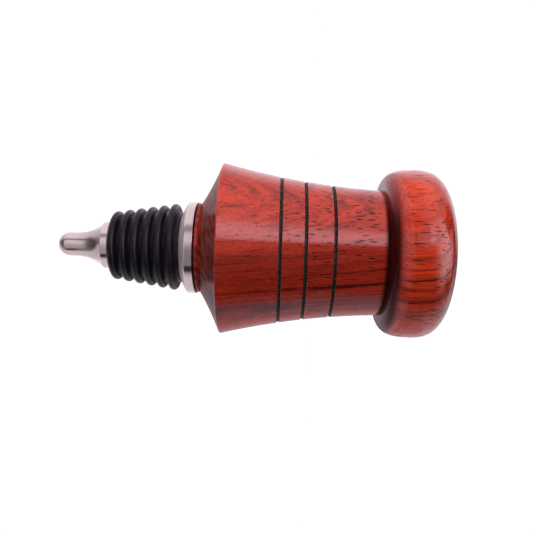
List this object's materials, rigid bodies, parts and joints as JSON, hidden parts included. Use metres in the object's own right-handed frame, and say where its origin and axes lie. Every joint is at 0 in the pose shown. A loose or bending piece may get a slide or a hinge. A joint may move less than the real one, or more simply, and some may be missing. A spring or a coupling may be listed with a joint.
{
  "type": "bottle stopper",
  "caption": "Turned hardwood bottle stopper with a flared handle and round knob on a steel body, and a tapered ribbed rubber sleeve that seals a bottle neck.",
  "frame": {"origin": "centre of the flat end of the knob, on the surface that the stopper stands on", "axes": "+Z along the turning axis from the knob to the steel tip; X and Y are equal, because every piece is round about Z"},
  "size_m": [0.0412, 0.0412, 0.0943],
  "materials": {
    "hardwood": "gloss lacquer over a red heartwood with dark growth lines and open pores, with three burned black lines",
    "steel": "fine turned and polished stainless steel",
    "silicone": "satin black moulded silicone",
    "stud_steel": "plain machined steel"
  },
  "bodies": {
    "root": {"turned_handle": "hardwood", "stopper_body": "steel", "ribbed_sleeve": "silicone", "threaded_stud": "stud_steel"}
  },
  "joints": []
}
